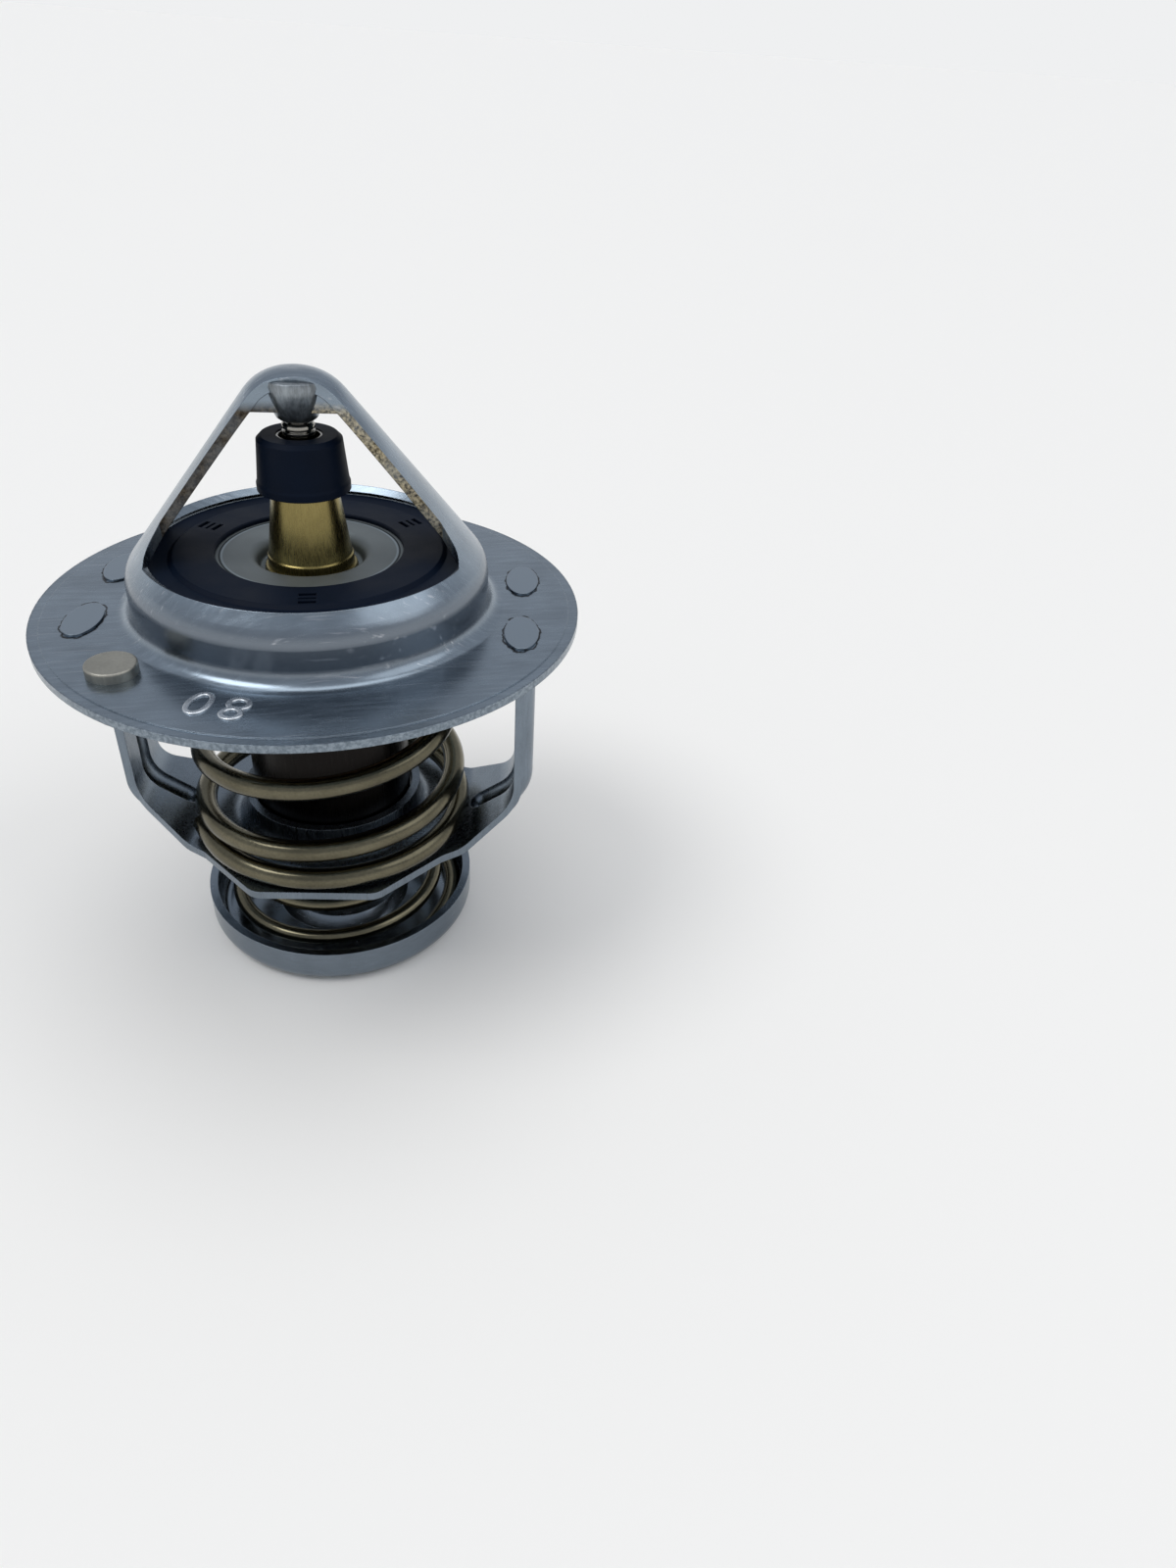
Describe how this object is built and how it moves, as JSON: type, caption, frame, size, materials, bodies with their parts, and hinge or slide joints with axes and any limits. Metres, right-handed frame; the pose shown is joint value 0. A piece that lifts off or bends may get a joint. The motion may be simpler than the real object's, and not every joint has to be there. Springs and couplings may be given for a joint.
{
  "type": "engine thermostat",
  "caption": "Wax engine thermostat: round flange, A-shaped bridge, sprung main valve, wax element with a steel piston, sprung bypass dish below and a loose air-bleed pin.",
  "frame": {"origin": "centre of the rest plane, the underside of the bypass dish, on the valve axis", "axes": "+Z along the valve axis towards the bridge; the bridge's two arms lie along X"},
  "size_m": [0.06, 0.06, 0.0701],
  "materials": {
    "frame_steel": "satin drawn stainless sheet",
    "strap_steel": "bright rolled stainless sheet",
    "piston_steel": "polished hardened steel",
    "turned_brass": "fine turned brass",
    "black_rubber": "matt moulded rubber",
    "element_copper": "drawn copper, darkened",
    "seal_plastic": "turned sealing ring",
    "wax": "wax filled with copper powder",
    "disc_steel": "matt grey pressed steel",
    "spring_steel": "drawn stainless spring wire",
    "pin_nickel": "turned steel with dull nickel"
  },
  "bodies": {
    "frame": {"upper_frame": "frame_steel", "lower_frame": "strap_steel", "piston": "piston_steel", "main_spring": "spring_steel"},
    "main_valve": {"guide": "turned_brass", "guide_cap": "black_rubber", "cap_ferrule": "piston_steel", "pellet_cup": "element_copper", "seal_boot": "black_rubber", "backing_ring": "seal_plastic", "wax_charge": "wax", "valve_disc": "disc_steel", "valve_ring": "black_rubber", "bypass_stem": "piston_steel", "stem_clip": "spring_steel", "bypass_spring": "spring_steel"},
    "bypass_valve": {"bypass_disc": "strap_steel"},
    "jiggle_pin": {"jiggle_pin": "pin_nickel"}
  },
  "joints": [
    {"name": "valve_lift", "type": "slide", "parent": "frame", "child": "main_valve", "axis": [0, 0, -1], "range_m": [0, 0.009], "stiffness_N_per_m": 2500, "springref_m": -0.008, "deforming": ["main_spring"]},
    {"name": "bypass_slide", "type": "slide", "parent": "main_valve", "child": "bypass_valve", "axis": [0, 0, 1], "range_m": [0, 0.005], "stiffness_N_per_m": 1200, "springref_m": -0.004, "deforming": ["bypass_spring"]},
    {"name": "jiggle_slide", "type": "slide", "parent": "frame", "child": "jiggle_pin", "axis": [0, 0, 1], "range_m": [0, 0.0016]}
  ]
}
